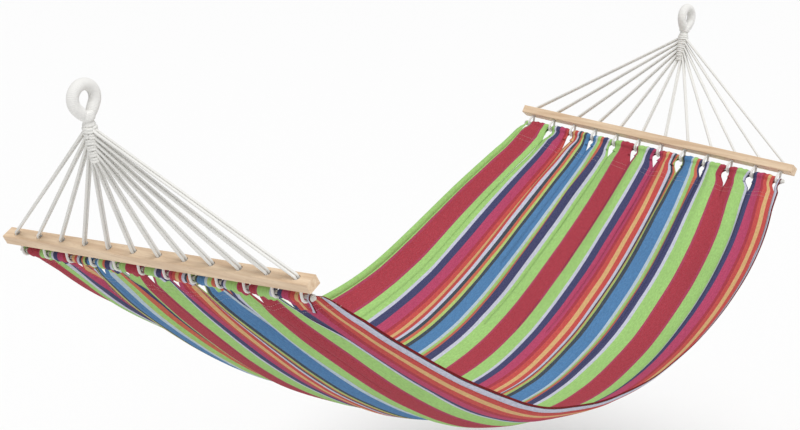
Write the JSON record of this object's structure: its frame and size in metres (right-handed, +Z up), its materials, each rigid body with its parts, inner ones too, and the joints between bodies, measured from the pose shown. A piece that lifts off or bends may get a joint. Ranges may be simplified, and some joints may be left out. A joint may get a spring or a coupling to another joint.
{
  "type": "spreader bar hammock",
  "caption": "Hanging bed of striped woven cloth slung between two drilled spreader bars, each hung by a fan of doubled cords from a lashed, served rope eye.",
  "frame": {"origin": "middle of the opening in the near eye, where its hook holds it", "axes": "+X along the bed from the near eye to the far eye, +Y across the bed, +Z up"},
  "size_m": [2.0685, 0.9408, 0.8225],
  "materials": {
    "striped_cloth": "matt yarn-dyed weave in many lengthwise stripes",
    "pale_wood": "smooth, unvarnished",
    "clew_cotton": "twisted natural cotton cord",
    "hem_cotton": "white cotton rope",
    "lashing_cotton": "cotton cord wound tight",
    "eye_strands": "bundle of cotton strands",
    "eye_wrapping": "fine cotton yarn wound smooth"
  },
  "bodies": {
    "near_eye": {"near_eye_core": "eye_strands", "near_eye_serving": "eye_wrapping"},
    "near_clew": {"near_clew_lashing": "lashing_cotton", "near_spreader_bar": "pale_wood", "near_clew_cord_01": "clew_cotton", "near_clew_cord_02": "clew_cotton", "near_clew_cord_03": "clew_cotton", "near_clew_cord_04": "clew_cotton", "near_clew_cord_05": "clew_cotton", "near_clew_cord_06": "clew_cotton", "near_clew_cord_07": "clew_cotton", "near_clew_cord_08": "clew_cotton", "near_clew_cord_09": "clew_cotton", "near_clew_cord_10": "clew_cotton", "near_clew_cord_11": "clew_cotton", "near_clew_cord_12": "clew_cotton"},
    "bed": {"bed_cloth": "striped_cloth", "near_hem_rope": "hem_cotton", "far_hem_rope": "hem_cotton"},
    "far_clew": {"far_clew_lashing": "lashing_cotton", "far_spreader_bar": "pale_wood", "far_clew_cord_01": "clew_cotton", "far_clew_cord_02": "clew_cotton", "far_clew_cord_03": "clew_cotton", "far_clew_cord_04": "clew_cotton", "far_clew_cord_05": "clew_cotton", "far_clew_cord_06": "clew_cotton", "far_clew_cord_07": "clew_cotton", "far_clew_cord_08": "clew_cotton", "far_clew_cord_09": "clew_cotton", "far_clew_cord_10": "clew_cotton", "far_clew_cord_11": "clew_cotton", "far_clew_cord_12": "clew_cotton"},
    "far_eye": {"far_eye_core": "eye_strands", "far_eye_serving": "eye_wrapping"}
  },
  "joints": [
    {"name": "swing", "type": "hinge", "parent": "near_eye", "child": "near_clew", "pos_m": [0.00887, 0, -0.04003], "axis": [1, 0, 0], "range_deg": [-30, 30]},
    {"name": "near_fold", "type": "hinge", "parent": "near_clew", "child": "bed", "pos_m": [0.15674, -0.00193, -0.33165], "axis": [0, -0.9978, 0.0663], "range_deg": [0, 90]},
    {"name": "far_fold", "type": "hinge", "parent": "bed", "child": "far_clew", "pos_m": [1.84172, 0.00193, -0.33165], "axis": [0, -0.9978, -0.0663], "range_deg": [0, 90]},
    {"name": "far_eye_turn", "type": "hinge", "parent": "far_clew", "child": "far_eye", "pos_m": [1.98958, 0, -0.04003], "axis": [1, 0, 0], "range_deg": [-30, 30]}
  ],
  "couplings": [
    {"joint": "far_eye_turn", "follows": "swing", "ratio": -1}
  ]
}
